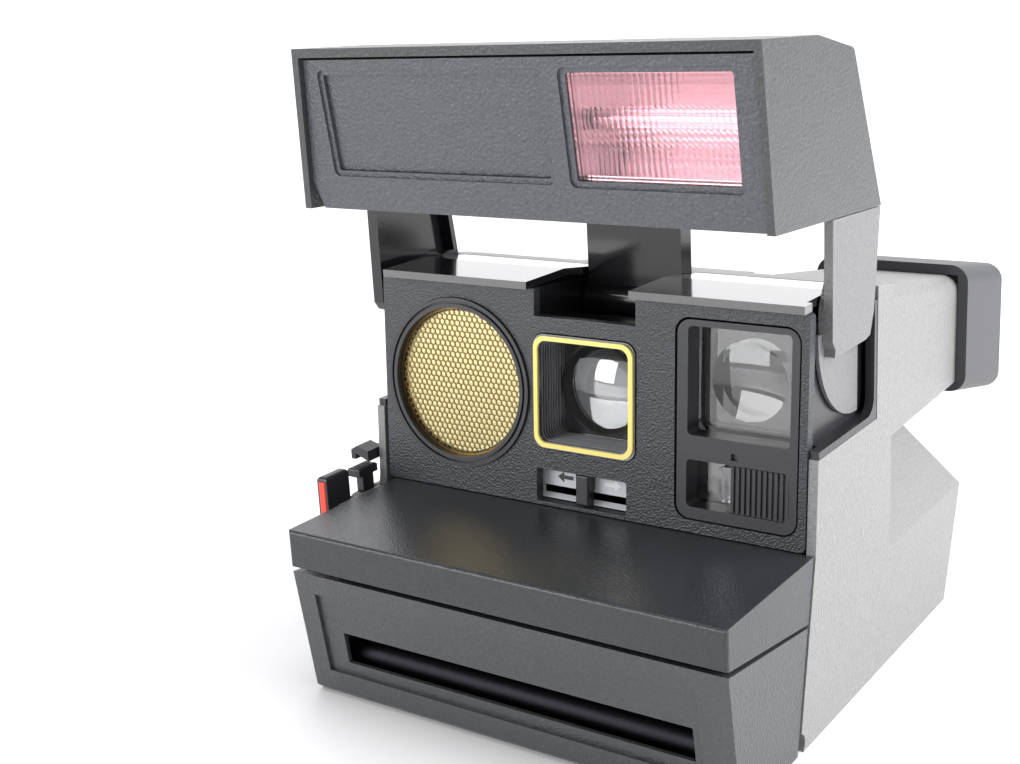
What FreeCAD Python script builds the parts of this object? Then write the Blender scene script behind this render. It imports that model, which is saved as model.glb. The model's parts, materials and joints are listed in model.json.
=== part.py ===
"""Instant film camera with a flash unit that folds down over its lens.

Millimetres, +Z up, -Y the side that faces the subject, +X the viewfinder side and -X the grip side.
The functions measure y from the shelf's front edge, and export_node() moves the origin to the base's middle.
"""
import FreeCAD
import Part

import math
import os

V = FreeCAD.Vector
X_AXIS = V(1, 0, 0)
Y_AXIS = V(0, 1, 0)
Z_AXIS = V(0, 0, 1)

# Casing
half_width = 59.0
grip_extra = 2.8
grip_half = half_width + grip_extra
wall = 2.2
base_thick = 1.9
seam_gap = 0.3
base_centre_y = 66.0
shelf_depth = 41.0
shelf_top_z = 43.5
shelf_left_x = 3.2 - half_width
lip_front = 9.0
lip_back = 14.5
seam_foot_y = 33.0
crest_y = shelf_depth + 17.0
crest_z = shelf_top_z + 54.5
roof_end_y = crest_y + 31.0
roof_end_z = crest_z - 4.5
shoulder_y = shelf_depth + 95.0
shoulder_z = 29.5
rear_foot_y = shoulder_y - 10.5
bevel_start_y = shelf_depth + 44.0
bevel_angle = 30.0
plate_thick = 1.8

# Viewfinder tube and eyecup
tube_x = (24.0, half_width)
tube_foot_z = crest_z - 41.0
tube_end_y = shelf_depth + 91.0
tube_end_z = (crest_z - 38.8, crest_z - 11.4)
tube_round = 4.0
cup_proud = 2.8
cup_y = (tube_end_y - 2.5, tube_end_y + 27.2)
cup_rear_z = (tube_end_z[0] - 9.1, tube_end_z[1] - 2.0)
eye_x = (32.0, 50.0)
eye_z = (tube_end_z[0] + 4.8, tube_end_z[0] + 20.8)

# Face plate, in a frame that leans back with the face
face_lean = 3.8
face_x = (3.8 - grip_half, half_width - 2.4)
top_plate_left_x = 6.5 - grip_half
face_height = 52.4
face_thick = 2.6
notch_x = (-12.6, 14.8)
notch_foot = 46.0
sonar_x = face_x[0] + 22.7
sonar_h = 27.4
sonar_r = 21.1
grille_r = 18.6
lens_x = 1.0
lens_h = 28.2
bezel_half = 13.8
shroud_depth = 9.5
lens_proud = 0.8
barrel_r = 11.6
glass_r = 10.3
window_x = (25.4, half_width - 4.6)
window_h = (3.5, 48.8)
finder_x = (28.0, window_x[1] - 1.8)
finder_h = (22.8, 47.4)
cell_x = (27.8, window_x[1] - 1.8)
cell_h = (6.2, 17.2)
focus_h = lens_h - 9.0
focus_bore = 1.5
rib_start_x = 38.8
rib_pitch = 1.3
scale_x = (-12.4, 12.4)
scale_h = (1.1, 9.2)
slider_travel = 5.0

# Flash unit, stood up
hinge_y = shelf_depth + 28.5
hinge_z = crest_z - 9.0
fold_angle = 83.5
pin_r = 2.5
running = 0.05
flash_inset = 0.1
flash_side_lean = 4.9
flash_wall = 1.8
flash_foot = (hinge_y - 46.8, hinge_z + 27.0)
flash_brow = (hinge_y - 52.2, hinge_z + 64.2)
flash_crown = (hinge_y - 26.8, hinge_z + 63.3)
flash_back = (hinge_y - 8.5, hinge_z + 59.6)
flash_heel = (hinge_y + 7.5, hinge_z + 24.4)
flash_lean = math.degrees(math.atan2(flash_foot[0] - flash_brow[0], flash_brow[1] - flash_foot[1]))
flash_floor_z = hinge_z + 30.0
panel_height = 34.9
panel_inset = 1.4
panel_thick = 3.2
name_deep = 2.4
step_deep = 0.6
name_x = (-50.4, 7.8)
name_h = (9.3, 31.3)
lamp_x = (14.4, 51.6)
lamp_h = (9.0, 31.4)
lamp_rib_pitch = 1.6
lamp_deep = 1.1
bowl_start = panel_thick + 0.1
arm_x = {
    1: (half_width - flash_inset - 2.0, half_width - flash_inset),
    -1: (grip_half - flash_inset - 3.0, grip_half - flash_inset),
}
arm_leaf = 0.7
disc_x = (half_width - 3.35, half_width - 2.5)
disc_r = {1: 21.0, -1: 12.8}
arm_hub_r = 4.3
strut_y = (hinge_y - 2.0, hinge_y + 3.0)
strut_r = 4.2
bay_foot_z = {1: hinge_z - disc_r[1] - 3.5, -1: hinge_z - disc_r[1] - 6.3}
bay_back_y = hinge_y + 6.3
bay_floor_x = (disc_x[0] - 1.15, disc_x[0] - 0.25)
rim = 1.6

# Film chamber, door and drive
chamber_x = (-49.5, 52.5)
chamber_y = (16.0, 118.0)
chamber_z = (3.2, 25.5)
chamber_wall = 1.5
aperture_x = (-38.0, 41.0)
aperture_y = (38.0, 118.0)
door_x = (shelf_left_x + 0.3, half_width - 0.2)
door_top_z = (33.2, 28.2)
door_front_y = (0.3, 4.8)
door_wall = 2.0
door_hinge = (33.0, 2.15)
door_pin_r = 0.9
lug_r = 2.0
lug_places = (-46.4, 41.6)
lug_width = 4.0
slot_x = (-44.0, 49.0)
slot_z = (10.2, 18.4)
label_x = (-50.0, 51.2)
label_z = (7.0, 28.0)
label_deep = 0.9
roller_x = (-47.6, 50.6)
roller_y = 11.4
roller_r = 3.6
nip_z = 14.2
nip = 0.4
gear_x = (-52.9, -51.1)
module = 0.5
roller_teeth = 20
drive_teeth = 30
idler_teeth = 30
pinion_teeth = 10
mesh_angles = (69.0, 20.0, 38.0)
motor_r = 7.0
motor_x = (-50.4, -37.0)
shaft_r = 0.75
capacitor = (-49.0, 38.0)
capacitor_r = 6.5
capacitor_y = (shelf_depth + 9.0, shelf_depth + 41.0)

# Grip side
ledge_x = -grip_half - 4.2
ledge_y = (25.0, 72.0)
ledge_z = (8.0, 40.5)
button_x = (ledge_x + 0.6, -grip_half - 0.5)
button_y = (21.6, 30.0)
button_top_z = 48.4
button_travel = 2.5
override_x = (ledge_x + 1.6, -grip_half - 0.5)
override_y = (33.8, 41.0)
override_lift = 4.1
override_travel = 1.5


def box(x, y, z):
    return Part.makeBox(x[1] - x[0], y[1] - y[0], z[1] - z[0], V(x[0], y[0], z[0]))


def rod(radius, start, axis, length):
    return Part.makeCylinder(radius, length, V(*start), axis)


def slab(outline, x):
    """A (y, z) outline drawn out along X."""
    wire = Part.makePolygon([V(x[0], y, z) for y, z in [*outline, outline[0]]])
    return Part.Face(wire).extrude(V(x[1] - x[0], 0, 0))


def sheet(outline, y):
    """An (x, z) outline drawn out along Y."""
    wire = Part.makePolygon([V(px, y[0], pz) for px, pz in [*outline, outline[0]]])
    return Part.Face(wire).extrude(V(0, y[1] - y[0], 0))


def tile(x, z, y, radius):
    """A rounded rectangle in X and Z, drawn out along Y."""
    block = box(x, y, z)
    upright = [e for e in block.Edges if abs(e.tangentAt(e.FirstParameter).y) > 0.99]
    return block.makeFillet(radius, upright)


def joined(shapes):
    whole = shapes[0]
    for shape in shapes[1:]:
        whole = whole.fuse(shape)
    return whole.removeSplitter()


def softened(shape, radius, wanted):
    """Rounds the edges that wanted(edge) picks, or the largest share of that radius the shape takes."""
    edges = [e for e in shape.Edges if wanted(e)]
    for share in (1.0, 0.6, 0.3):
        try:
            rounded = shape.makeFillet(radius * share, edges)
        except Exception:
            continue
        if rounded.isValid() and rounded.Volume > 0.5 * shape.Volume:
            return rounded
    return shape


def grown(outline, distance):
    """The outline moved outwards by distance, or inwards if it is negative, with its corners kept sharp."""
    wire = Part.makePolygon([V(0, y, z) for y, z in [*outline, outline[0]]])
    moved = wire.makeOffset2D(distance, 2)
    return [(v.Y, v.Z) for v in moved.OrderedVertexes]


def leaning(shape, angle, y, z):
    """Turns a shape built upright at y 0, z 0 so that its top goes back by angle, and sets its foot at y, z."""
    shape.rotate(V(0, 0, 0), X_AXIS, -angle)
    shape.translate(V(0, y, z))
    return shape


def seam_y(z):
    """Where the casing's front edge, on its side, stands at height z."""
    return seam_foot_y + z * (shelf_depth + 0.5 - seam_foot_y) / shelf_top_z


def on_face(shape):
    return leaning(shape, face_lean, shelf_depth, shelf_top_z)


def on_flash(shape):
    return leaning(shape, -flash_lean, flash_foot[0] + panel_inset, flash_foot[1])


def gear(teeth, centre, x, phase):
    """A spur gear about X with trapezoid teeth, thinned for backlash."""
    pitch_r = module * teeth / 2
    levels = ((pitch_r - 1.2 * module, 0.27), (pitch_r, 0.21), (pitch_r + 0.85 * module, 0.1))
    points = []
    for i in range(teeth):
        middle = 2 * math.pi * (i + phase) / teeth
        flank = [(r, -share) for r, share in levels] + [(r, share) for r, share in reversed(levels)]
        for r, share in flank:
            a = middle + share * 2 * math.pi / teeth
            points.append((centre[0] + r * math.cos(a), centre[1] + r * math.sin(a)))
    return slab(points, x)


def bored(shape, radius, centre, x):
    return shape.cut(rod(radius, (x[0] - 1, *centre), X_AXIS, x[1] - x[0] + 2))


def polar(centre, radius, degrees):
    a = math.radians(degrees)
    return centre[0] + radius * math.cos(a), centre[1] + radius * math.sin(a)


roller_low_z = nip_z - nip / 2 - roller_r
roller_high_z = nip_z + nip / 2 + roller_r
roller_axis = (roller_y, roller_low_z)
drive_axis = polar(roller_axis, module * (roller_teeth + drive_teeth) / 2, mesh_angles[0])
idler_axis = polar(drive_axis, module * (drive_teeth + idler_teeth) / 2, mesh_angles[1])
motor_axis = polar(idler_axis, module * (idler_teeth + pinion_teeth) / 2, mesh_angles[2])


def meshed_phase(teeth, own_axis, other_axis, other_teeth, other_phase):
    """The phase, in teeth, that puts a gap of this gear where the other gear has a tooth."""
    towards = math.atan2(other_axis[1] - own_axis[1], other_axis[0] - own_axis[0])
    other_at = (towards + math.pi) / (2 * math.pi) * other_teeth - other_phase
    return towards / (2 * math.pi) * teeth - 0.5 + (other_at - round(other_at))


drive_phase = 0.0
roller_phase = meshed_phase(roller_teeth, roller_axis, drive_axis, drive_teeth, drive_phase)
idler_phase = meshed_phase(idler_teeth, idler_axis, drive_axis, drive_teeth, drive_phase)
pinion_phase = meshed_phase(pinion_teeth, motor_axis, idler_axis, idler_teeth, idler_phase)


# ---------------------------------------------------------------- casing

def body_outline():
    return [
        (seam_y(0), 0), (seam_y(shelf_top_z), shelf_top_z), (shelf_depth + 4, crest_z - 2), (crest_y, crest_z),
        (roof_end_y, roof_end_z), (shoulder_y, shoulder_z), (rear_foot_y, 0),
    ]


def tube_outline():
    return [
        (crest_y + 2, tube_foot_z), (crest_y + 2, crest_z - 0.3), (tube_end_y, tube_end_z[1]), (tube_end_y, tube_end_z[0]),
    ]


def casing_x(inset):
    """The casing's two sides in X, moved in by inset."""
    return inset - grip_half, half_width - inset


def bevels(inset):
    """The two wedges that thin the casing's rear upper sides, moved in by inset."""
    top = crest_z + 10
    lean = (top - shoulder_z) * math.tan(math.radians(bevel_angle))
    wedges = []
    for side, x in ((1, half_width - inset), (-1, grip_half - inset)):
        outline = [(side * x, shoulder_z), (side * (x + 30), shoulder_z), (side * (x + 30), top), (side * (x - lean), top)]
        wedges.append(sheet(outline, (bevel_start_y - inset, shoulder_y + 20)))
    return wedges


def casing_solid(inset):
    """The casing's outside, or with an inset its inside."""
    body = slab(grown(body_outline(), -inset) if inset else body_outline(), casing_x(inset))
    for wedge in bevels(inset):
        body = body.cut(wedge)
    tube_side = grown(tube_outline(), -inset) if inset else tube_outline()
    tube = slab(tube_side, (tube_x[0] + inset, tube_x[1] - inset))
    along = [e for e in tube.Edges if abs(e.tangentAt(e.FirstParameter).y) > 0.5 and e.BoundBox.ZMax > crest_z - 12]
    tube = tube.makeFillet(max(tube_round - inset, 1.0), along)
    return body.fuse(tube).removeSplitter()


def grip_ledge(inset):
    x = (ledge_x + inset, 1 - grip_half)
    block = box(x, (ledge_y[0] + inset, ledge_y[1] - inset), (ledge_z[0] + inset, ledge_z[1] - inset))
    return block if inset else softened(block, 2.5, lambda e: e.BoundBox.XMax < ledge_x + 0.1)


def rear_shell():
    shell = casing_solid(0).fuse(grip_ledge(0)).cut(casing_solid(wall))
    shell = shell.cut(grip_ledge(wall))
    inside_x = casing_x(wall)
    shell = shell.cut(box(inside_x, (0, shelf_depth + 20), (-1, crest_z)))
    shell = shell.cut(box((-80, 0), (0, bay_back_y), (bay_foot_z[-1], 130)))
    shell = shell.cut(box((-1, 80), (0, bay_back_y), (bay_foot_z[1], 130)))
    shell = shell.cut(box(inside_x, (30, rear_foot_y - wall), (-1, wall + 1)))
    shell = shell.cut(box(eye_x, (tube_end_y - 6, tube_end_y + 2), eye_z))
    shell = shell.cut(box((tube_x[0] + wall, inside_x[1]), (bay_back_y - 2, bay_back_y + 6), (tube_foot_z + wall, crest_z - 4)))
    slot_z_low = ledge_z[1] - 3.7
    shell = shell.cut(box((button_x[0] - 0.3, button_x[1] + 0.3), (button_y[0] - 1.6, button_y[1] + button_travel + 1.5),
                          (slot_z_low, ledge_z[1] + 1.5)))
    shell = shell.cut(box((override_x[0] - 0.4, override_x[1] + 0.3), (override_y[0] + 0.6, override_y[1] + 0.8),
                          (ledge_z[1] - 4.5, ledge_z[1] + 1.5)))
    shell = shell.cut(rear_window_cut()).cut(latch_slot())
    shell = shell.cut(rod(lug_r + 0.75, (-80, *door_hinge), X_AXIS, 160))
    counter_post = on_rear(rod(counter_bore, (counter_x, -3.2, counter_h), Y_AXIS, 3.4))
    return shell.fuse(counter_post).removeSplitter()


def latch_slot():
    return box((ledge_x - 1, ledge_x + wall + 1), (34.6, 45.4), (20.6, 24.4))


def base_plate():
    """The floor, with the two lugs and pins that the film door swings on."""
    plate = box(casing_x(wall + seam_gap), (door_hinge[0] + lug_r + 0.6, rear_foot_y - wall - seam_gap), (0, base_thick))
    y, z = door_hinge
    parts = [plate]
    for x in lug_places:
        parts.append(box((x, x + lug_width), (y, y + lug_r + 4), (0.15, base_thick)))
        parts.append(rod(lug_r, (x, y, z), X_AXIS, lug_width))
        start = x - lug_width - 0.8 if x > 0 else x + lug_width - 0.1
        parts.append(rod(door_pin_r, (start, y, z), X_AXIS, lug_width + 0.9))
    for x in (-31.0, 28.0):
        parts.append(box((x, x + 3), (50, 112), (base_thick - 0.1, chamber_z[0])))
    plate = joined(parts)
    for x, y in screw_places():
        plate = plate.cut(rod(1.3, (x, y, -1), Z_AXIS, 4)).cut(rod(2.5, (x, y, -1), Z_AXIS, 2.1))
    return plate


def screw_places():
    return [(x, y) for x in (5.0 - half_width, half_width - 5.0) for y in (50.0, rear_foot_y - 17.5)]


def base_screws():
    screws = []
    for x, y in screw_places():
        screw = rod(2.3, (x, y, 0.3), Z_AXIS, 0.8).fuse(rod(1.2, (x, y, 0.9), Z_AXIS, 6.5))
        slot = box((x - 1.6, x + 1.6), (y - 0.3, y + 0.3), (0, 0.7))
        cross = box((x - 0.3, x + 0.3), (y - 1.6, y + 1.6), (0, 0.7))
        screws.append(screw.cut(slot).cut(cross).removeSplitter())
    return Part.makeCompound(screws)


def top_plate():
    lip_y = shelf_depth + 0.4
    outline = [
        (lip_y, crest_z), (crest_y, crest_z), (bay_back_y - seam_gap, crest_z - 2.6),
        (bay_back_y - seam_gap, crest_z - 2.6 - plate_thick), (crest_y, crest_z - plate_thick), (lip_y, crest_z - plate_thick),
    ]
    plate = slab(outline, (top_plate_left_x, face_x[1]))
    above = (crest_z - 18, crest_z + 12)
    for side in (1, -1):
        x = sorted((side * (bay_floor_x[1] - 0.1), side * 70))
        plate = plate.cut(box(x, (shelf_depth + 4.2, hinge_y + 20), above))
    return plate.cut(box(notch_x, (shelf_depth - 10, bay_back_y - 1.9), above)).removeSplitter()


def shelf_cover():
    right = half_width - 0.2
    front_z = shelf_top_z - lip_front
    back_z = shelf_top_z - lip_back
    outline = [(0, front_z), (0, shelf_top_z), (seam_y(shelf_top_z) - 0.6, shelf_top_z), (seam_y(back_z) - 0.6, back_z)]
    solid = slab(outline, (shelf_left_x, right))
    solid = softened(solid, 0.8, lambda e: e.BoundBox.ZMin > shelf_top_z - 0.1 and e.BoundBox.YMax < shelf_depth - 1 or
                     e.BoundBox.YMax < 0.1 and e.Length < lip_front + 1)
    hollow = slab([(wall, -5), (wall, shelf_top_z - wall), (60, shelf_top_z - wall), (60, -5)],
                  (shelf_left_x + wall, right - wall))
    return solid.cut(hollow)


def bay_liner(side):
    """The shallow tray that lines the bay a folding arm swings in: a floor and the two walls round its corner."""
    foot = bay_foot_z[side] + 0.1
    back = bay_back_y - 0.1
    top = crest_z - 5.5
    floor = box(sorted((side * bay_floor_x[0], side * bay_floor_x[1])), (shelf_depth + 6.4, back), (foot, top))
    outer = casing_x(0)[0 if side < 0 else 1] - side * 0.1
    x = sorted((side * bay_floor_x[0], outer))
    shelf = box(x, (shelf_depth + 6.2, back), (foot, foot + rim))
    edge = sorted((outer - side * (wall - 0.1), outer))
    walls = box(edge, (shelf_depth + 2.4, back), (foot, top))
    walls = walls.cut(box((edge[0] - 1, edge[1] + 1), (0, back - rim), (foot + rim, crest_z)))
    corner = [e for e in walls.Edges if e.BoundBox.XLength > 1 and abs(e.BoundBox.YMin - back + rim) < 0.1
              and abs(e.BoundBox.ZMin - foot - rim) < 0.1]
    tray = joined([floor, shelf, walls.makeFillet(4.0, corner)])
    return tray.cut(rod(pin_r, (x[0] - 1, hinge_y, hinge_z), X_AXIS, x[1] - x[0] + 2))


def trough_floor(extra):
    """(y, z) of the trough's floor line, lowered by extra."""
    front_z = shelf_top_z + notch_foot * math.cos(math.radians(face_lean)) - 0.4
    low_z = hinge_z - strut_r - 0.6
    return [(shelf_depth + 6.2, front_z - extra), (hinge_y - 11, low_z + 3.3 - extra), (hinge_y - 6.5, low_z - extra),
            (bay_back_y - 0.4, low_z - extra)]


def hinge_trough():
    top = [(bay_back_y - 0.4, crest_z - 4.8), (shelf_depth + 6.2, crest_z - 2.2)]
    x = (notch_x[0] - 1.4, notch_x[1] + 1.4)
    block = slab(trough_floor(1.0) + top, x)
    room = slab(trough_floor(0) + [(bay_back_y - 1.8, crest_z), (shelf_depth, crest_z)], notch_x)
    room = room.cut(box(notch_x, (bay_back_y - 1.8, 90), (70, 120)))
    trough = block.cut(room)
    return trough.cut(rod(pin_r, (x[0] - 1, hinge_y, hinge_z), X_AXIS, x[1] - x[0] + 2))


def hinge_pins():
    outer = bay_floor_x[0]
    length = disc_x[1] + 1.6 - outer
    pins = [rod(pin_r, (outer, hinge_y, hinge_z), X_AXIS, length), rod(pin_r, (-outer - length, hinge_y, hinge_z), X_AXIS, length)]
    pins.append(rod(pin_r, (notch_x[0] - 1.3, hinge_y, hinge_z), X_AXIS, notch_x[1] - notch_x[0] + 2.6))
    return Part.makeCompound(pins)


# ---------------------------------------------------------------- face

def face_plate():
    plate = tile(face_x, (0.2, face_height), (0, face_thick), 1.2)
    cuts = [
        rod(sonar_r + 0.15, (sonar_x, -1, sonar_h), Y_AXIS, 9),
        tile((lens_x - bezel_half - 0.3, lens_x + bezel_half + 0.3), (lens_h - bezel_half - 0.3, lens_h + bezel_half + 0.3),
             (-1, 9), 3.2),
        tile((window_x[0] - 0.6, window_x[1] + 0.4), (window_h[0] - 0.4, window_h[1] + 0.5), (-1, 9), 3.6),
        tile(scale_x, scale_h, (-1, 9), 0.8),
        box(notch_x, (-1, 9), (notch_foot, face_height + 1)),
    ]
    for cut in cuts:
        plate = plate.cut(cut)
    return on_face(plate)


def ring(outer, inner, x, h, y):
    start = (x, y[0], h)
    return rod(outer, start, Y_AXIS, y[1] - y[0]).cut(rod(inner, start, Y_AXIS, y[1] - y[0]))


def sonar_bezel():
    body = ring(sonar_r, grille_r + 0.05, sonar_x, sonar_h, (-0.7, 2.0))
    groove = ring(sonar_r - 0.9, sonar_r - 1.5, sonar_x, sonar_h, (-0.8, 0.2))
    flange = ring(sonar_r + 1.4, grille_r + 0.1, sonar_x, sonar_h, (face_thick + 0.05, face_thick + 1.3))
    flange = flange.cut(box((-80, -bay_floor_x[0] + 0.3), (0, 20), (0, 80)))
    neck = ring(sonar_r, grille_r + 0.1, sonar_x, sonar_h, (1.9, face_thick + 0.1))
    shelf = ring(grille_r + 0.2, grille_r - 0.9, sonar_x, sonar_h, (1.55, 2.15))
    return on_face(joined([body, neck, flange, shelf]).cut(groove))


def sonar_grille():
    return on_face(rod(grille_r, (sonar_x, 0.9, sonar_h), Y_AXIS, 0.6))


def sonar_transducer():
    """The gold foil that chirps and listens, on its cup."""
    cup = rod(grille_r - 0.2, (sonar_x, 2.2, sonar_h), Y_AXIS, 8.5)
    return on_face(cup.cut(rod(grille_r - 1.6, (sonar_x, 2.6, sonar_h), Y_AXIS, 10)))


def lens_bezel():
    def square(half, y, radius):
        return tile((lens_x - half, lens_x + half), (lens_h - half, lens_h + half), y, radius)
    return on_face(square(bezel_half - 0.4, (-0.9, -0.31), 3.0).cut(square(bezel_half - 1.45, (-2, 2), 2.4)))


def lens_shroud():
    """A square hood whose inside is stepped and grooved so that it throws no light on the lens."""
    def square(half, y, radius):
        return tile((lens_x - half, lens_x + half), (lens_h - half, lens_h + half), y, radius)
    hood = square(bezel_half, (-0.3, shroud_depth + 1.5), 2.9)
    rings = 10
    pitch = shroud_depth / rings
    for i in range(rings):
        half = bezel_half - 1.25 - 0.04 * i
        start = -0.4 if i == 0 else i * pitch
        hood = hood.cut(square(half - 0.35, (start, (i + 1) * pitch + 0.01), 2.2))
        hood = hood.cut(square(half, (i * pitch + 0.35, i * pitch + 0.8), 2.4))
    return on_face(hood.cut(rod(barrel_r + 0.1, (lens_x, shroud_depth - 1, lens_h), Y_AXIS, 4)))


def lens_glass(radius, curve, x, h, y, thick):
    """A lens with one bulging side, towards the subject, and one flat side."""
    sag = curve - math.sqrt(curve ** 2 - radius ** 2)
    ball = Part.makeSphere(curve, V(x, y + curve, h))
    disc = rod(radius, (x, y, h), Y_AXIS, thick + sag)
    return disc.common(ball)


def front_lens():
    return on_face(lens_glass(glass_r, 20.0, lens_x, lens_h, shroud_depth - lens_proud, 2.0))


shutter_y = shroud_depth + 8.0


def shutter_housing():
    """The box behind the shroud that the blades and the focusing disc work in, with the front lens's barrel."""
    x = (lens_x - 19, lens_x + 19)
    z = (lens_h - 24, lens_h + 10.6)
    housing = box(x, (shutter_y, shutter_y + 9), z)
    y = shroud_depth
    barrel = rod(barrel_r, (lens_x, y - 0.5, lens_h), Y_AXIS, 8.6)
    cone = Part.makeCone(barrel_r - 0.5, glass_r - 0.5, 1.6, V(lens_x, y - 0.6, lens_h), Y_AXIS)
    seat = rod(glass_r + 0.05, (lens_x, y + 0.9, lens_h), Y_AXIS, 3.2)
    housing = housing.fuse(barrel).cut(cone).cut(seat)
    housing = housing.cut(box((x[0] + 1.2, x[1] - 1.2), (shutter_y + 1.2, shutter_y + 7.8), (z[0] + 1.2, z[1] - 1.2)))
    hole = rod(6.0, (lens_x, y, lens_h), Y_AXIS, 22)
    post = rod(focus_bore, (lens_x, shutter_y + 1.1, focus_h), Y_AXIS, 6.8)
    return on_face(housing.cut(hole).fuse(post).removeSplitter())


def shutter_blade(side):
    """One of the two blades that slide apart; their notches cross to make the aperture."""
    y = shutter_y + (1.8 if side > 0 else 2.6)
    blade = box((lens_x - 8, lens_x + 8), (y, y + 0.4), (lens_h - 6.5, lens_h + 6.5))
    notch = rod(4.2, (lens_x - side * 9.5, y - 1, lens_h), Y_AXIS, 3)
    return on_face(blade.cut(notch))


def focus_disc():
    """A moulded disc of four lenses; it turns about its own post to bring one of them behind the blades."""
    y = shutter_y + 4.4
    disc = rod(13.0, (lens_x, y, focus_h), Y_AXIS, 1.2)
    for i in range(4):
        x, h = polar((lens_x, focus_h), lens_h - focus_h, 90 + 90 * i)
        disc = disc.fuse(lens_glass(3.4, 11.0, x, h, y - 0.6, 0.8 + 0.2 * i))
    return on_face(disc.cut(rod(focus_bore + running, (lens_x, y - 1, focus_h), Y_AXIS, 4)).removeSplitter())


def finder_bezel():
    frame = tile(window_x, window_h, (0.1, 5.5), 3.2)
    frame = frame.cut(tile(finder_x, finder_h, (-1, 9), 1.0))
    cell = tile(cell_x, cell_h, (-1, 9), 1.2)
    frame = frame.cut(cell)
    ribbed = box((rib_start_x, cell_x[1] + 0.5), (0.7, 2.4), (cell_h[0] - 0.5, cell_h[1] + 0.5))
    ribs = [ribbed]
    x = rib_start_x
    while x + 0.7 < cell_x[1]:
        ribs.append(box((x, x + 0.7), (0.15, 0.8), (cell_h[0] + 0.2, cell_h[1] - 0.2)))
        x += rib_pitch
    mark = box((rib_start_x, rib_start_x + 1.6), (-1, 1.0), (cell_h[1] + 1.1, cell_h[1] + 2.7))
    return on_face(joined([frame, *ribs]).cut(mark))


def finder_front_lens():
    x = (finder_x[0] - 0.6, finder_x[1] + 0.6)
    z = (finder_h[0] - 0.6, finder_h[1] + 0.6)
    plate = tile(x, z, (5.5, 8.3), 2.0)
    middle = ((x[0] + x[1]) / 2, (z[0] + z[1]) / 2)
    hollow = Part.makeSphere(30, V(middle[0], 6.9 - 30, middle[1]))
    return on_face(plate.cut(hollow))


def finder_tunnel():
    front_y = shelf_depth + 12.4
    outline = [(front_y, tube_foot_z + 8.2), (front_y, crest_z - 5.6), (tube_end_y - 4, tube_end_z[1] - 4), (tube_end_y - 4, tube_end_z[0] + 3.6)]
    x = (finder_x[0] - 0.6, bay_floor_x[0] - 0.9)
    tunnel = slab(outline, x)
    room = grown(outline, -1.2)
    room = [(y + (-5 if y < front_y + 5 else 5), z) for y, z in room]
    return tunnel.cut(slab(room, (x[0] + 1.2, x[1] - 1.2)))


def finder_eye_lens():
    y = tube_end_y - wall
    middle = ((eye_x[0] + eye_x[1]) / 2, (eye_z[0] + eye_z[1]) / 2)
    lens = tile((eye_x[0] + 0.05, eye_x[1] - 0.05), (eye_z[0] + 0.05, eye_z[1] - 0.05), (y - 0.9, y + 1.8), 1.5)
    return lens.cut(Part.makeSphere(40, V(middle[0], y + 1.4 + 40, middle[1])))


def eyecup():
    front_z = (tube_end_z[0] - cup_proud, tube_end_z[1] + cup_proud + 0.3)
    outline = [(cup_y[0], front_z[0]), (cup_y[0], front_z[1]), (cup_y[1], cup_rear_z[1]), (cup_y[1], cup_rear_z[0])]
    x = (tube_x[0] - cup_proud, tube_x[1] + cup_proud)
    cup = slab(outline, x)
    cup = softened(cup, 4.5, lambda e: abs(e.tangentAt(e.FirstParameter).y) > 0.5)
    cup = softened(cup, 1.6, lambda e: e.BoundBox.YMin > cup_y[1] - 0.1)
    pocket_side = [(cup_y[0] - 1, tube_end_z[0] - 0.3), (cup_y[0] - 1, tube_end_z[1] + 0.6),
                   (tube_end_y + 0.1, tube_end_z[1] + 0.4), (tube_end_y + 0.1, tube_end_z[0] - 0.3)]
    pocket = slab(pocket_side, (tube_x[0] - 0.2, tube_x[1] + 0.2))
    funnel = Part.makeLoft([
        Part.makePolygon([V(px, y, pz) for px, pz in rectangle(eye_x, eye_z, spread)])
        for y, spread in ((tube_end_y - 1, 0), (cup_y[1] + 0.1, 5.0))
    ], True, True)
    return cup.cut(pocket).cut(funnel)


def rectangle(x, z, spread):
    x0, x1, z0, z1 = x[0] - spread, x[1] + spread, z[0] - spread, z[1] + spread
    return [(x0, z0), (x1, z0), (x1, z1), (x0, z1), (x0, z0)]


def photocell():
    """The light meter's cell: a small lens on the board that closes the lower opening."""
    board = box((cell_x[0] - 1.2, rib_start_x + 1), (5.5, 6.6), (cell_h[0] - 1.2, cell_h[1] + 1.2))
    lens = tile((rib_start_x - 4.2, rib_start_x - 0.6), (cell_h[0] + 1.6, cell_h[1] - 1.4), (2.6, 5.6), 0.8)
    return on_face(joined([board, lens]))


def exposure_scale():
    """The strip printed with the two arrows, hung from the face, and the sill under it."""
    x = (scale_x[0] - 1, scale_x[1] + 1)
    back = face_thick + 1.3
    strip = box(x, (back, back + 0.8), (scale_h[0] + 3.1, scale_h[1] + 3.6))
    hanger = box(x, (face_thick, back + 0.1), (scale_h[1] + 2.6, scale_h[1] + 3.6))
    sill = slab([(back - 0.7, scale_h[0] + 0.1), (back + 0.8, scale_h[0] + 0.1), (back + 0.8, scale_h[0] + 1.0)], x)
    ends = [box((end, end + 0.6), (back, back + 0.8), (scale_h[0] + 0.4, scale_h[0] + 4)) for end in (x[0], x[1] - 0.6)]
    return on_face(joined([strip, hanger, sill, *ends]))


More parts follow.
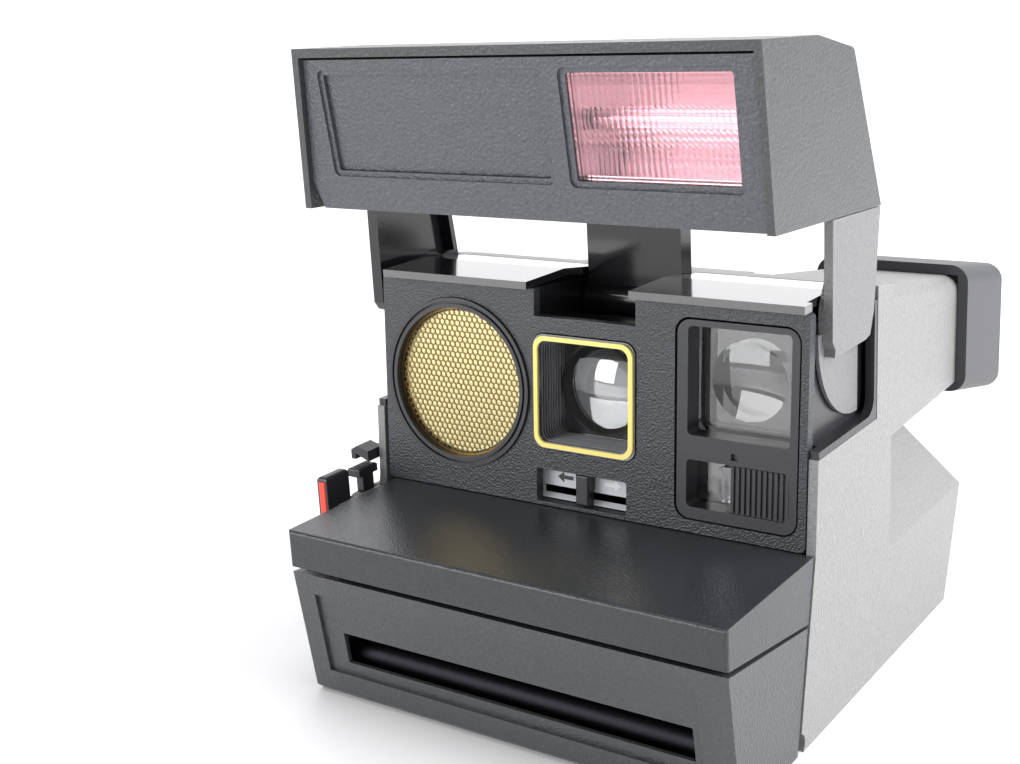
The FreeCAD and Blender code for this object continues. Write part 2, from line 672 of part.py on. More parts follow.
def exposure_slider():
    middle = (scale_x[0] + scale_x[1]) / 2
    knob = box((middle - 1.8, middle + 1.8), (0.5, face_thick + 0.4), (scale_h[0] + 0.3, scale_h[1] - 0.3))
    knob = softened(knob, 0.5, lambda e: e.BoundBox.YMax < 0.6)
    neck = box((middle - 1.8, middle + 1.8), (face_thick + 0.3, face_thick + 0.95), (scale_h[0] + 4, scale_h[1] + 1.4))
    foot = box((middle - 6, middle + 6), (face_thick + 0.3, face_thick + 0.95), (scale_h[1] + 0.4, scale_h[1] + 2.2))
    return on_face(joined([knob, neck, foot]))


# ---------------------------------------------------------------- grip side controls

def shutter_button():
    top = box(button_x, button_y, (ledge_z[1] - 3.0, button_top_z))
    top = softened(top, 1.0, lambda e: e.BoundBox.ZMin > button_top_z - 0.1)
    pocket = box((button_x[0] + 0.5, button_x[1] - 0.5), (button_y[0] - 1, button_y[0] + 0.8), (ledge_z[1] - 2.5, button_top_z - 1.2))
    return top.cut(pocket)


def shutter_button_face():
    inlay = box((button_x[0] + 0.52, button_x[1] - 0.52), (button_y[0] - 0.3, button_y[0] + 0.78), (ledge_z[1] - 2.48, button_top_z - 1.22))
    return softened(inlay, 0.4, lambda e: e.BoundBox.YMax < button_y[0] - 0.2)


def override_button():
    bar_z = (ledge_z[1] + override_lift, ledge_z[1] + override_lift + 2.2)
    bar = box((ledge_x, -grip_half - 0.3), override_y, bar_z)
    bar = softened(bar, 0.6, lambda e: e.BoundBox.ZMin > bar_z[1] - 0.1)
    stem = box(override_x, (override_y[0] + 1.4, override_y[1] - 1.6), (ledge_z[1] - 3.6, bar_z[0] + 0.1))
    return bar.fuse(stem).removeSplitter()


def strap_lug():
    x = -grip_half - 0.4
    outline = [(x, 47.8), (x, 50.6), (x - 3.6, 51.6), (x - 5.6, 50.4), (x - 5.6, 47.9), (x - 4.2, 47.9), (x - 4.2, 49.6)]
    hook = sheet(outline, (37.8, 43.4))
    root = box((x - 2, -grip_half), (42.4, shelf_depth + 7.0), (47.9, 50.6))
    return joined([hook, root])


def door_latch():
    knob = box((ledge_x - 1.8, ledge_x - 0.3), (35.0, 41.0), (19.6, 25.4))
    knob = softened(knob, 0.7, lambda e: e.BoundBox.XMax < ledge_x - 1.7)
    stem = box((ledge_x - 0.4, ledge_x + wall + 1.5), (35.2, 40.8), (20.9, 24.1))
    return knob.fuse(stem).removeSplitter()


# ---------------------------------------------------------------- film chamber and drive

def film_chamber():
    """The box that the film pack slides into, with the seats of the drive and of the capacitor."""
    body = box(chamber_x, chamber_y, chamber_z)
    w = chamber_wall
    room = box((chamber_x[0] + w, chamber_x[1] - w), (0, chamber_y[1] - w), (chamber_z[0] + 1.0, chamber_z[1] - w))
    body = body.cut(room).cut(box(aperture_x, aperture_y, (20, 30)))
    y, z = door_hinge
    for x in (lug_places[0] - 0.4, lug_places[1] - lug_width - 1.4):
        body = body.cut(box((x, x + 2 * lug_width + 1.8), (y - lug_r - 5, y + lug_r + 3), (0, z + lug_r + 0.5)))
    stub = chamber_x[0] - gear_x[0]
    drive_stub = rod(1.0, (gear_x[0] - 0.3, *drive_axis), X_AXIS, gear_x[1] - gear_x[0] + 1.0)
    y, z = drive_axis
    arm = box((gear_x[1] + 0.3, gear_x[1] + 1.2), (y - 2.5, chamber_y[0] + 4), (z - 2.5, z + 2.5))
    root = box((gear_x[1] + 0.3, chamber_x[0] + 0.1), (chamber_y[0] + 0.5, chamber_y[0] + 4), (z - 2.5, z + 2.5))
    idler_stub = rod(1.0, (gear_x[0] - 0.3, *idler_axis), X_AXIS, stub + 0.4)
    post = box((gear_x[1] + 0.4, chamber_x[0] + 1), (idler_axis[0] - 3, idler_axis[0] + 3), (chamber_z[1] - 6, idler_axis[1] + 3))
    cradle = box((motor_x[0] + 2, motor_x[1] - 2), (motor_axis[0] - 8, motor_axis[0] + 8), (chamber_z[1] - 0.1, motor_axis[1] - 1))
    saddle = box((chamber_x[0], capacitor[0] + 6), (capacitor_y[0] + 8, capacitor_y[1] - 8), (chamber_z[1] - 0.1, capacitor[1] - 3))
    body = joined([body, drive_stub, arm, root, cradle, post, idler_stub, saddle])
    body = body.cut(rod(motor_r + 0.03, (motor_x[0] - 0.6, *motor_axis), X_AXIS, 30))
    return body.cut(rod(capacitor_r + 0.06, (capacitor[0], 20, capacitor[1]), Y_AXIS, 80))


def motor():
    can = rod(motor_r, (motor_x[0], *motor_axis), X_AXIS, motor_x[1] - motor_x[0])
    can = can.fuse(rod(2.2, (motor_x[0] - 0.5, *motor_axis), X_AXIS, 0.6))
    return can.cut(rod(shaft_r + running, (motor_x[0] - 1, *motor_axis), X_AXIS, 7)).removeSplitter()


def motor_pinion():
    shaft = rod(shaft_r, (gear_x[0] - 0.3, *motor_axis), X_AXIS, motor_x[0] + 5 - gear_x[0])
    return gear(pinion_teeth, motor_axis, gear_x, pinion_phase).fuse(shaft).removeSplitter()


def idler_gear():
    return bored(gear(idler_teeth, idler_axis, gear_x, idler_phase), 1.0 + running, idler_axis, gear_x)


def drive_gear():
    return bored(gear(drive_teeth, drive_axis, gear_x, drive_phase), 1.0 + running, drive_axis, gear_x)


def pick_arm():
    """The bar that pushes the top sheet out of the film pack towards the rollers."""
    bar = box((chamber_x[0] - 2.3, chamber_x[0] - 0.4), (66.0, chamber_y[1] - 7), (13.0, 19.0))
    hook = box((chamber_x[0] - 2.3, chamber_x[0] - 0.4), (chamber_y[1] - 12, chamber_y[1] - 7), (18.9, 24.0))
    return joined([bar, hook])


def battery_contacts():
    contacts = []
    for x in (-18.0, 22.0):
        z = chamber_z[0] + 1.0
        strip = box((x - 2, x + 2), (60, 82), (z, z + 0.4))
        bump = rod(0.8, (x - 2, 71, z + 0.4), X_AXIS, 4).cut(box((x - 3, x + 3), (60, 82), (z - 3, z + 0.2)))
        contacts.append(strip.fuse(bump).removeSplitter())
    return Part.makeCompound(contacts)


def back_slope(offset, span, x):
    """A trapezoid plate that lies inside the sloping back: offset in from its outside, span (start, end) up it."""
    along = V(0, roof_end_y - shoulder_y, roof_end_z - shoulder_z)
    along.normalize()
    inward = V(0, -along.z, along.y)
    foot = V(0, shoulder_y, shoulder_z)
    corners = []
    for distance, half in ((span[0], x[0]), (span[1], x[1])):
        point = foot + along * distance + inward * offset[0]
        corners.append((point, half))
    (low, wide), (high, narrow) = corners
    mid = V(lens_x, 0, 0)
    points = [low + mid - X_AXIS * wide, low + mid + X_AXIS * wide, high + mid + X_AXIS * narrow, high + mid - X_AXIS * narrow]
    face = Part.Face(Part.makePolygon([*points, points[0]]))
    return face.extrude(inward * (offset[1] - offset[0]))


def mirror():
    """The mirror that folds the light from the lens down on to the film, glued inside the sloping back."""
    return back_slope((wall, wall + 1.6), (5.5, 64.0), (38.0, 18.0))


def main_board():
    board = box((-34.0, 53.0), (6.0, 38.0), (36.4, 37.8))
    chips = [box((0, 14), (14, 26), (37.7, 39.8)), box((24, 36), (18, 26), (37.7, 39.4))]
    posts = [rod(1.6, (x, y, 37.7), Z_AXIS, shelf_top_z - wall - 37.7) for x in (-28.0, 48.0) for y in (10.0, 34.0)]
    return joined([board, *chips, *posts])


def flash_capacitor():
    return rod(capacitor_r, (capacitor[0], capacitor_y[0], capacitor[1]), Y_AXIS, capacitor_y[1] - capacitor_y[0])


# ---------------------------------------------------------------- film counter

counter_x = -38.0
counter_h = 16.0
counter_r = 8.0
counter_bore = 1.0


def rear_lean():
    return math.degrees(math.atan2(shoulder_y - rear_foot_y, shoulder_z))


def on_rear(shape):
    """Sets a shape built at y 0 on the inside of the rear wall, with y running forwards from it."""
    return leaning(shape, rear_lean(), rear_foot_y - wall / math.cos(math.radians(rear_lean())), 0)


def rear_window_cut():
    return on_rear(box((counter_x - 3.2, counter_x + 3.2), (-1, wall + 3), (counter_h + 1.5, counter_h + 7.5)))


def counter_window():
    pane = box((counter_x - 3.1, counter_x + 3.1), (0.1, wall - 0.2), (counter_h + 1.6, counter_h + 7.4))
    return on_rear(pane)


def counter_dial():
    dial = rod(counter_r, (counter_x, -1.8, counter_h), Y_AXIS, 1.2)
    return on_rear(dial.cut(rod(counter_bore + running, (counter_x, -3, counter_h), Y_AXIS, 4)))


# ---------------------------------------------------------------- film door

def door_outline():
    return [
        (door_front_y[0], door_top_z[0]), (door_front_y[1], 1.6), (door_front_y[1] + 1.8, 0), (seam_y(0) - 0.8, 0),
        (seam_y(door_top_z[1]) - 0.8, door_top_z[1]),
    ]


def door_front_at(z):
    t = (door_top_z[0] - z) / (door_top_z[0] - 1.6)
    return door_front_y[0] + t * (door_front_y[1] - door_front_y[0])


def film_door():
    door = slab(door_outline(), door_x)
    w = door_wall
    hollow = [
        (door_front_at(40) + w, 40), (door_front_at(w) + w, w), (60, w), (60, 40),
    ]
    door = door.cut(slab(hollow, (door_x[0] + w, door_x[1] - w)))
    recess = [(door_front_at(z) + d, z) for z, d in ((label_z[0], -3), (label_z[1], -3), (label_z[1], label_deep), (label_z[0], label_deep))]
    door = door.cut(slab(recess, label_x))
    door = door.cut(box(slot_x, (-2, 9), slot_z))
    y, z = door_hinge
    door = door.cut(box((-60, 60), (y - lug_r - 0.6, 60), (-1, z + lug_r)).cut(
        joined([box((x0, x1), (0, 80), (-2, 20)) for x0, x1 in ((door_x[0] - 1, door_x[0] + w), (door_x[1] - w, door_x[1] + 1))])))
    for place in lug_places:
        start = place - lug_width - 0.4 if place > 0 else place + lug_width + 0.4
        x = (start, start + lug_width)
        lug = box(x, (y - 8, y), (0.15, w)).fuse(rod(lug_r, (x[0], y, z), X_AXIS, lug_width))
        door = door.fuse(lug).cut(rod(door_pin_r + running, (x[0] - 1, y, z), X_AXIS, lug_width + 2))
    return door.removeSplitter()


def roller_bracket():
    """The frame inside the door that carries both rollers and strips the sheet off them."""
    front_y, back_y = door_front_at(0) + door_wall + 0.2, roller_y + roller_r + 0.6
    head_z = roller_high_z + roller_r + 0.6
    ends = []
    for x in ((roller_x[0] - 2.0, roller_x[0] - 0.5), (roller_x[1] + 0.5, roller_x[1] + 2.0)):
        end = box(x, (front_y, back_y), (door_wall + 0.1, head_z + 1.4))
        for z in (roller_low_z, roller_high_z):
            end = end.cut(rod(1.5 + running, (x[0] - 1, roller_y, z), X_AXIS, 5))
        ends.append(end)
    x = (roller_x[0] - 2.0, roller_x[1] + 2.0)
    sill = box(x, (front_y, back_y), (door_wall + 0.1, door_wall + 1.1))
    head = box(x, (front_y, back_y), (head_z, head_z + 1.4))
    return joined([*ends, sill, head])


def roller(z, gear_end):
    drum = rod(roller_r, (roller_x[0], roller_y, z), X_AXIS, roller_x[1] - roller_x[0])
    left = gear_x[0] if gear_end else roller_x[0] - 2.0
    shaft = rod(1.5, (left, roller_y, z), X_AXIS, roller_x[1] + 2.0 - left)
    return drum.fuse(shaft).removeSplitter()


def roller_gear():
    return bored(gear(roller_teeth, roller_axis, gear_x, roller_phase), 1.5, roller_axis, gear_x)


# ---------------------------------------------------------------- flash unit

def flash_outline():
    return [flash_foot, flash_brow, flash_crown, flash_back, flash_heel]


def flash_sides(inset, y):
    """The front view of the flash unit, moved in by inset at its sides: its grip side leans in towards the top."""
    left, right = casing_x(inset + flash_inset)
    foot, top = flash_foot[1], flash_brow[1]
    return sheet([(left, foot - 20), (right, foot - 20), (right, top + 5), (left + flash_side_lean, top + 5),
                  (left + flash_side_lean, top), (left, foot)], y)


def flash_shell():
    t = flash_wall
    around = (flash_brow[0] - 20, flash_heel[0] + 10)
    shell = slab(flash_outline(), casing_x(flash_inset)).common(flash_sides(0, around))
    shell = softened(shell, 2.5, lambda e: e.Length > 100 and e.BoundBox.ZMin > flash_back[1] - 3 and e.BoundBox.YMin > flash_brow[0] + 12)
    top = [(flash_brow[0] - 10, flash_brow[1] - t), (flash_crown[0], flash_crown[1] - t), (flash_back[0] - t, flash_back[1] - t)]
    slope = (flash_heel[0] - flash_back[0]) / (flash_back[1] - flash_heel[1])
    low = flash_foot[1] - 16
    foot_y = flash_back[0] - t * 1.1 + slope * (flash_back[1] - t - low)
    inside = [(flash_brow[0] - 10, low), *top, (foot_y, low)]
    shell = shell.cut(slab(inside, casing_x(t)).common(flash_sides(t, around)))
    across = casing_x(t + flash_inset)
    shell = shell.cut(box(across, (flash_foot[0] + 20, flash_heel[0] + 13), (low, flash_floor_z + 1.2)))
    pocket = (-arm_x[-1][0] - arm_leaf - 0.1, arm_x[1][0] + arm_leaf + 0.1)
    return shell.cut(box(pocket, (hinge_y - 25.5, hinge_y + 1.5), (low, flash_foot[1] + 8.5)))


def flash_front_panel():
    left, right = casing_x(flash_inset + flash_wall + 0.15)
    top = panel_height
    outline = [(left, 0.1), (right, 0.1), (right, top), (left + flash_side_lean * top / (flash_brow[1] - flash_foot[1]), top)]
    panel = sheet(outline, (0, panel_thick))
    panel = panel.cut(tile((name_x[0] - 1.3, name_x[1] + 1.3), (name_h[0] - 1.3, name_h[1] + 1.3), (-1, step_deep), 1.6))
    panel = panel.cut(tile((name_x[0] - 0.1, name_x[1] + 0.1), (name_h[0] - 0.1, name_h[1] + 0.1), (-1, name_deep), 0.6))
    panel = panel.cut(tile((lamp_x[0] - 1.6, lamp_x[1] + 1.4), (lamp_h[0] - 1.4, lamp_h[1] + 1.4), (-1, step_deep), 1.8))
    panel = panel.cut(tile((lamp_x[0] - 0.1, lamp_x[1] + 0.1), (lamp_h[0] - 0.1, lamp_h[1] + 0.1), (-1, 5), 0.6))
    wedge = sheet([(left - 1, -1), (left + 1.0, 6.4), (left + 3.4, -1)], (-1, 5))
    return on_flash(panel.cut(wedge))


def flash_name_plate():
    return on_flash(tile(name_x, name_h, (name_deep - 0.9, name_deep - 0.02), 0.5))


def flash_lens():
    pane = tile(lamp_x, lamp_h, (lamp_deep, lamp_deep + 1.6), 0.5)
    x = lamp_x[0] + 1.2
    while x < lamp_x[1] - 0.8:
        pane = pane.cut(rod(0.45, (x, lamp_deep - 0.25, lamp_h[0] - 1), Z_AXIS, lamp_h[1] - lamp_h[0] + 2))
        x += lamp_rib_pitch
    return on_flash(pane)


def flash_reflector():
    """A bowl-shaped trough behind the flash lens, open to the front and cut through at each end for the tube."""
    deep = 12.2
    middle = (lamp_h[0] + lamp_h[1]) / 2
    half = (lamp_h[1] - lamp_h[0]) / 2 + 0.3
    steps = 8

    def bowl(thick):
        points = []
        for i in range(-steps, steps + 1):
            h = i / steps
            points.append((bowl_start + (deep - thick) * (1 - h * h), middle + (half - thick) * h))
        return points
    trough = slab(bowl(0), (lamp_x[0] - 1.0, lamp_x[1] + 1.0))
    trough = trough.cut(slab([(bowl_start - 0.5, middle - half + 0.9), *bowl(0.9), (bowl_start - 0.5, middle + half - 0.9)], lamp_x))
    return on_flash(trough.cut(rod(2.3, (lamp_x[0] - 3, 8.5, middle), X_AXIS, lamp_x[1] - lamp_x[0] + 6)))


def flash_tube():
    middle = (lamp_h[0] + lamp_h[1]) / 2
    tube = rod(2.0, (lamp_x[0] - 4, 8.5, middle), X_AXIS, lamp_x[1] - lamp_x[0] + 8)
    caps = [rod(2.2, (x, 8.5, middle), X_AXIS, 3) for x in (lamp_x[0] - 5, lamp_x[1] + 2)]
    return on_flash(joined([tube, *caps]))


def flash_floor():
    half = disc_x[0] - 0.1
    front_y = flash_foot[0] + panel_inset + panel_thick + 0.2
    back_y = flash_heel[0] - 6.5
    plate = box((-half, half), (front_y, back_y), (flash_floor_z, flash_floor_z + 1.6))
    lamp_leg = box((lamp_x[0] - 6.8, lamp_x[0] - 5), (front_y + 1, front_y + 14), (flash_floor_z + 1.5, flash_floor_z + 19))
    return plate.fuse(lamp_leg).removeSplitter()


def side_edge_z(y):
    """Height of the lower edge of the flash unit's side walls."""
    t = (y - flash_foot[0]) / (flash_heel[0] - flash_foot[0])
    return flash_foot[1] + t * (flash_heel[1] - flash_foot[1])


def flash_arm(side, front_y, back_y, lip_y):
    """A folding arm: a plate flush with the flash unit's side, a leaf that goes up inside it, and the hinge disc."""
    def across(near, far):
        return sorted((side * near, side * far))
    gap = 0.2
    top_z = side_edge_z(back_y) - gap
    low = hinge_z - 4.2
    profile = [
        (lip_y, side_edge_z(lip_y) - gap), (lip_y, low + 3.7), (lip_y + 1.5, low + 1.7), (front_y + 1.2, low), (hinge_y - 1.0, low),
        (hinge_y + 1.8, low + 0.5), (hinge_y + 4.0, low + 5.7), (back_y, top_z),
    ]
    near, far = arm_x[side]
    plate = slab(profile, across(near, far))
    leaf_y = (front_y + 1, min(back_y - 7.5, hinge_y - 0.5))
    leaf = box(across(near, near + arm_leaf), leaf_y, (hinge_z + 11, flash_foot[1] + 8))
    inner = across(disc_x[0], near + 0.05)
    boss_r = disc_r[side] - 1.0 if side > 0 else 2 * arm_hub_r
    boss = slab(profile, inner).common(rod(boss_r, (inner[0], hinge_y, hinge_z), X_AXIS, inner[1] - inner[0]))
    disc = rod(disc_r[side], (across(*disc_x)[0], hinge_y, hinge_z), X_AXIS, disc_x[1] - disc_x[0])
    disc = disc.cut(box((-90, 90), (hinge_y + 0.5, 140), (0, 140))).cut(box((-90, 90), (0, 140), (hinge_z + 1, 140)))
    rib = slab([(back_y - 1.6, top_z), (hinge_y + 2.4, hinge_z + 4), (hinge_y + 4.0, hinge_z + 4), (back_y, top_z)], inner)
    rib_r = hinge_y - shelf_depth - face_height * math.sin(math.radians(face_lean)) - face_thick - 1.2
    rib = rib.common(rod(rib_r, (inner[0], hinge_y, hinge_z), X_AXIS, inner[1] - inner[0]))
    hub = rod(arm_hub_r, (inner[0], hinge_y, hinge_z), X_AXIS, inner[1] - inner[0])
    arm = joined([plate, leaf, boss, disc, hub, rib] if side < 0 else [plate, leaf, boss, disc, hub])
    bore = across(disc_x[0] - 0.1, disc_x[1] + 1.8)
    return arm.cut(rod(pin_r + running, (bore[0], hinge_y, hinge_z), X_AXIS, bore[1] - bore[0]))


def flash_strut():
    """The wide centre leaf that carries the wires from the flash unit down to the hinge."""
    x = (notch_x[0] + 0.8, notch_x[1] - 0.8)
    leaf = box(x, strut_y, (hinge_z, flash_floor_z - 0.05))
    barrel = rod(strut_r, (x[0], hinge_y, hinge_z), X_AXIS, x[1] - x[0])
    leaf = leaf.fuse(barrel)
    back_room = box((x[0] + 1.6, x[1] - 1.6), (strut_y[0] + 1.6, strut_y[1] + 3), (hinge_z + strut_r + 1.5, flash_floor_z - 2))
    return leaf.cut(back_room).cut(rod(pin_r + running, (x[0] - 1, hinge_y, hinge_z), X_AXIS, x[1] - x[0] + 2)).removeSplitter()


def export_node(name, shape):
    moved = shape.copy()
    moved.translate(V(0, -base_centre_y, 0))
    solids = moved.Solids
    assert solids, name
    for solid in solids:
        assert solid.isValid() and solid.Volume > 0, name
    out = solids[0] if len(solids) == 1 else Part.makeCompound(solids)
    out.exportStep("parts/" + name + ".step")
    print(name, len(solids), round(sum(s.Volume for s in solids)))


def main():
    os.makedirs("parts", exist_ok=True)
    nodes = {
        "rear_shell": rear_shell(),
        "base_plate": base_plate(),
        "base_screws": base_screws(),
        "top_plate": top_plate(),
        "shelf_cover": shelf_cover(),
        "bay_liner_finder_side": bay_liner(1),
        "bay_liner_grip_side": bay_liner(-1),
        "hinge_trough": hinge_trough(),
        "hinge_pins": hinge_pins(),
        "face_plate": face_plate(),
        "sonar_bezel": sonar_bezel(),
        "sonar_grille": sonar_grille(),
        "sonar_transducer": sonar_transducer(),
        "lens_bezel": lens_bezel(),
        "lens_shroud": lens_shroud(),
        "front_lens": front_lens(),
        "shutter_housing": shutter_housing(),
        "shutter_blade_left": shutter_blade(-1),
        "shutter_blade_right": shutter_blade(1),
        "focus_disc": focus_disc(),
        "finder_bezel": finder_bezel(),
        "finder_front_lens": finder_front_lens(),
        "finder_tunnel": finder_tunnel(),
        "finder_eye_lens": finder_eye_lens(),
        "eyecup": eyecup(),
        "photocell": photocell(),
        "exposure_scale": exposure_scale(),
        "exposure_slider": exposure_slider(),
        "shutter_button": shutter_button(),
        "shutter_button_face": shutter_button_face(),
        "override_button": override_button(),
        "strap_lug": strap_lug(),
        "door_latch": door_latch(),
        "film_chamber": film_chamber(),
        "motor": motor(),
        "motor_pinion": motor_pinion(),
        "idler_gear": idler_gear(),
        "drive_gear": drive_gear(),
        "pick_arm": pick_arm(),
        "battery_contacts": battery_contacts(),
        "mirror": mirror(),
        "main_board": main_board(),
        "flash_capacitor": flash_capacitor(),
        "counter_dial": counter_dial(),
        "counter_window": counter_window(),
        "film_door": film_door(),
        "roller_bracket": roller_bracket(),
        "roller_lower": roller(roller_low_z, True),
        "roller_upper": roller(roller_high_z, False),
        "roller_gear": roller_gear(),
        "flash_shell": flash_shell(),
        "flash_front_panel": flash_front_panel(),
        "flash_name_plate": flash_name_plate(),
        "flash_lens": flash_lens(),
        "flash_reflector": flash_reflector(),
        "flash_tube": flash_tube(),
        "flash_floor": flash_floor(),
        "flash_arm_finder_side": flash_arm(1, hinge_y - 19.1, hinge_y + 7.1, hinge_y - 19.1),
        "flash_arm_grip_side": flash_arm(-1, hinge_y - 21.1, hinge_y + 0.7, hinge_y - 24.9),
        "flash_strut": flash_strut(),
    }
    print(len(nodes), "nodes")
    for name, shape in nodes.items():
        export_node(name, shape)


main()
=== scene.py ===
# %% [markdown]
# # An instant camera with its flash unit up
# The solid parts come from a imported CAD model, which is loaded first. This script only adds looks:
# materials, a few finely detailed pieces that would be heavy in CAD, a floor, lights and a camera.

# %%
import bpy
import json
import math
from mathutils import Matrix, Vector


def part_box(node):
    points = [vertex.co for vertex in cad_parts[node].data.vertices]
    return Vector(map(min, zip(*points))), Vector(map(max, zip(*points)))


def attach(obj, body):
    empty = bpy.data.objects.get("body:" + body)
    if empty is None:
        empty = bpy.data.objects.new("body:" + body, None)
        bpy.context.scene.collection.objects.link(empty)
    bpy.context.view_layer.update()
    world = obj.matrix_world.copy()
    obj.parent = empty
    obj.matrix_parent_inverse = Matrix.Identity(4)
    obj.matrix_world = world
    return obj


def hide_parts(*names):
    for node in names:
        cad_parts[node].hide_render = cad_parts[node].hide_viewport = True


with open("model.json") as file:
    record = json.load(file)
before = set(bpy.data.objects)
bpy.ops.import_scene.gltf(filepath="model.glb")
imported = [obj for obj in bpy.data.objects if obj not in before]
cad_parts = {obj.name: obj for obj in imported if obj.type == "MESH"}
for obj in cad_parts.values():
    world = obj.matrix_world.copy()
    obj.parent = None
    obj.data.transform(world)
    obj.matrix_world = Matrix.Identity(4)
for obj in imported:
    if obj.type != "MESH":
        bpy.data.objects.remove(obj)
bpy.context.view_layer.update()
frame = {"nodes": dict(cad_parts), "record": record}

# %% [markdown]
# Every plastic on this camera has a moulded grain. One node group makes the grain for all of them,
# so that a change to it shows everywhere. It only hands back a normal and a speckle mask.

# %%
def new_group(name, inputs, outputs):
    group = bpy.data.node_groups.new(name, "ShaderNodeTree")
    for label, kind, value in inputs:
        socket = group.interface.new_socket(name=label, in_out="INPUT", socket_type=kind)
        socket.default_value = value
    for label, kind in outputs:
        group.interface.new_socket(name=label, in_out="OUTPUT", socket_type=kind)
    return group, group.nodes.new("NodeGroupInput"), group.nodes.new("NodeGroupOutput")


def grain_group():
    group, source, out = new_group(
        "moulded_grain",
        [("Scale", "NodeSocketFloat", 1400.0),
         ("Depth", "NodeSocketFloat", 0.3),
         ("Distance", "NodeSocketFloat", 0.0002)],
        [("Normal", "NodeSocketVector"), ("Speckle", "NodeSocketFloat")],
    )
    nodes, links = group.nodes, group.links
    place = nodes.new("ShaderNodeTexCoord")
    cells = nodes.new("ShaderNodeTexVoronoi")
    cells.feature = "SMOOTH_F1"
    cells.inputs["Smoothness"].default_value = 0.6
    noise = nodes.new("ShaderNodeTexNoise")
    noise.inputs["Detail"].default_value = 3.0
    height = nodes.new("ShaderNodeMath")
    height.operation = "ADD"
    bump = nodes.new("ShaderNodeBump")
    for texture in (cells, noise):
        links.new(place.outputs["Object"], texture.inputs["Vector"])
        links.new(source.outputs["Scale"], texture.inputs["Scale"])
    links.new(cells.outputs["Distance"], height.inputs[0])
    links.new(noise.outputs["Fac"], height.inputs[1])
    links.new(height.outputs["Value"], bump.inputs["Height"])
    links.new(source.outputs["Depth"], bump.inputs["Strength"])
    links.new(source.outputs["Distance"], bump.inputs["Distance"])
    links.new(bump.outputs["Normal"], out.inputs["Normal"])
    links.new(noise.outputs["Fac"], out.inputs["Speckle"])
    return group


GRAIN = grain_group()

# %% [markdown]
# Edges get a painted highlight: they are made a little lighter, as a rounded edge catches the light.
# The mask below compares the true normal with one that is
# rounded over half a millimetre: where they differ, there is an edge.

# %%
def edge_group():
    group, source, out = new_group(
        "edge_mask",
        [("Radius", "NodeSocketFloat", 0.0005)],
        [("Mask", "NodeSocketFloat")],
    )
    nodes, links = group.nodes, group.links
    rounded = nodes.new("ShaderNodeBevel")
    rounded.samples = 4
    true = nodes.new("ShaderNodeNewGeometry")
    likeness = nodes.new("ShaderNodeVectorMath")
    likeness.operation = "DOT_PRODUCT"
    level = nodes.new("ShaderNodeMapRange")
    level.inputs["From Min"].default_value = 1.0
    level.inputs["From Max"].default_value = 0.8
    links.new(source.outputs["Radius"], rounded.inputs["Radius"])
    links.new(rounded.outputs["Normal"], likeness.inputs[0])
    links.new(true.outputs["Normal"], likeness.inputs[1])
    links.new(likeness.outputs["Value"], level.inputs["Value"])
    links.new(level.outputs["Result"], out.inputs["Mask"])
    return group


EDGE = edge_group()

# %% [markdown]
# Three kinds of material: moulded plastic, metal, and clear glass or clear plastic. A grain's scale
# is in cells per metre, and its distance is a height in metres. A coat is a glossy layer on top, and
# a high coat_ior makes it reflect more.

# %%
COAT_ROUGHNESS = 0.12  # of a coated plastic
# Painted highlight on edges: these two numbers make an edge's lighter colour from the base colour.
EDGE_HIGHLIGHT_GAIN, EDGE_HIGHLIGHT_LIFT = 1.6, 0.02  # how an edge's colour is made from the base colour


def group_node(tree, group, **values):
    node = tree.nodes.new("ShaderNodeGroup")
    node.node_tree = group
    for label, value in values.items():
        node.inputs[label].default_value = value
    return node


def colour_mix(tree):
    node = tree.nodes.new("ShaderNodeMix")
    node.data_type = "RGBA"
    return node


def principled(name):
    material = bpy.data.materials.new(name)
    material.use_nodes = True
    return material, material.node_tree, material.node_tree.nodes["Principled BSDF"]


def plastic(name, colour, rough, scale=1400.0, depth=0.3, distance=0.0002, edge=0.25, speckle=0.12,
            coat=0.0, coat_ior=1.5):
    """Moulded plastic: a base colour with faint speckle, a painted highlight on its edges and a
    grain in the normal.
    """
    material, tree, shader = principled(name)
    shader.inputs["Roughness"].default_value = rough
    shader.inputs["Coat Weight"].default_value = coat
    shader.inputs["Coat Roughness"].default_value = COAT_ROUGHNESS
    shader.inputs["Coat IOR"].default_value = coat_ior
    grain = group_node(tree, GRAIN, Scale=scale, Depth=depth, Distance=distance)
    rim = group_node(tree, EDGE)
    tint = colour_mix(tree)
    tint.inputs["A"].default_value = (*[c * (1 - speckle) for c in colour], 1)
    tint.inputs["B"].default_value = (*[min(c * (1 + speckle), 1) for c in colour], 1)
    # The edges' painted highlight: the colour turns lighter where the edge mask is.
    highlighted = colour_mix(tree)
    highlighted.inputs["B"].default_value = (*[min(c * EDGE_HIGHLIGHT_GAIN + EDGE_HIGHLIGHT_LIFT, 1) for c in colour], 1)
    highlight_weight = tree.nodes.new("ShaderNodeMath")
    highlight_weight.operation = "MULTIPLY"
    highlight_weight.inputs[1].default_value = edge
    links = tree.links
    links.new(grain.outputs["Speckle"], tint.inputs["Factor"])
    links.new(tint.outputs["Result"], highlighted.inputs["A"])
    links.new(rim.outputs["Mask"], highlight_weight.inputs[0])
    links.new(highlight_weight.outputs["Value"], highlighted.inputs["Factor"])
    links.new(highlighted.outputs["Result"], shader.inputs["Base Color"])
    links.new(grain.outputs["Normal"], shader.inputs["Normal"])
    return material


def metal(name, colour, rough, scale=900.0, depth=0.1, metallic=1.0):
    """Metal with a faint grain, and no speckle or pale edges."""
    material, tree, shader = principled(name)
    shader.inputs["Base Color"].default_value = (*colour, 1)
    shader.inputs["Metallic"].default_value = metallic
    shader.inputs["Roughness"].default_value = rough
    grain = group_node(tree, GRAIN, Scale=scale, Depth=depth)
    tree.links.new(grain.outputs["Normal"], shader.inputs["Normal"])
    return material


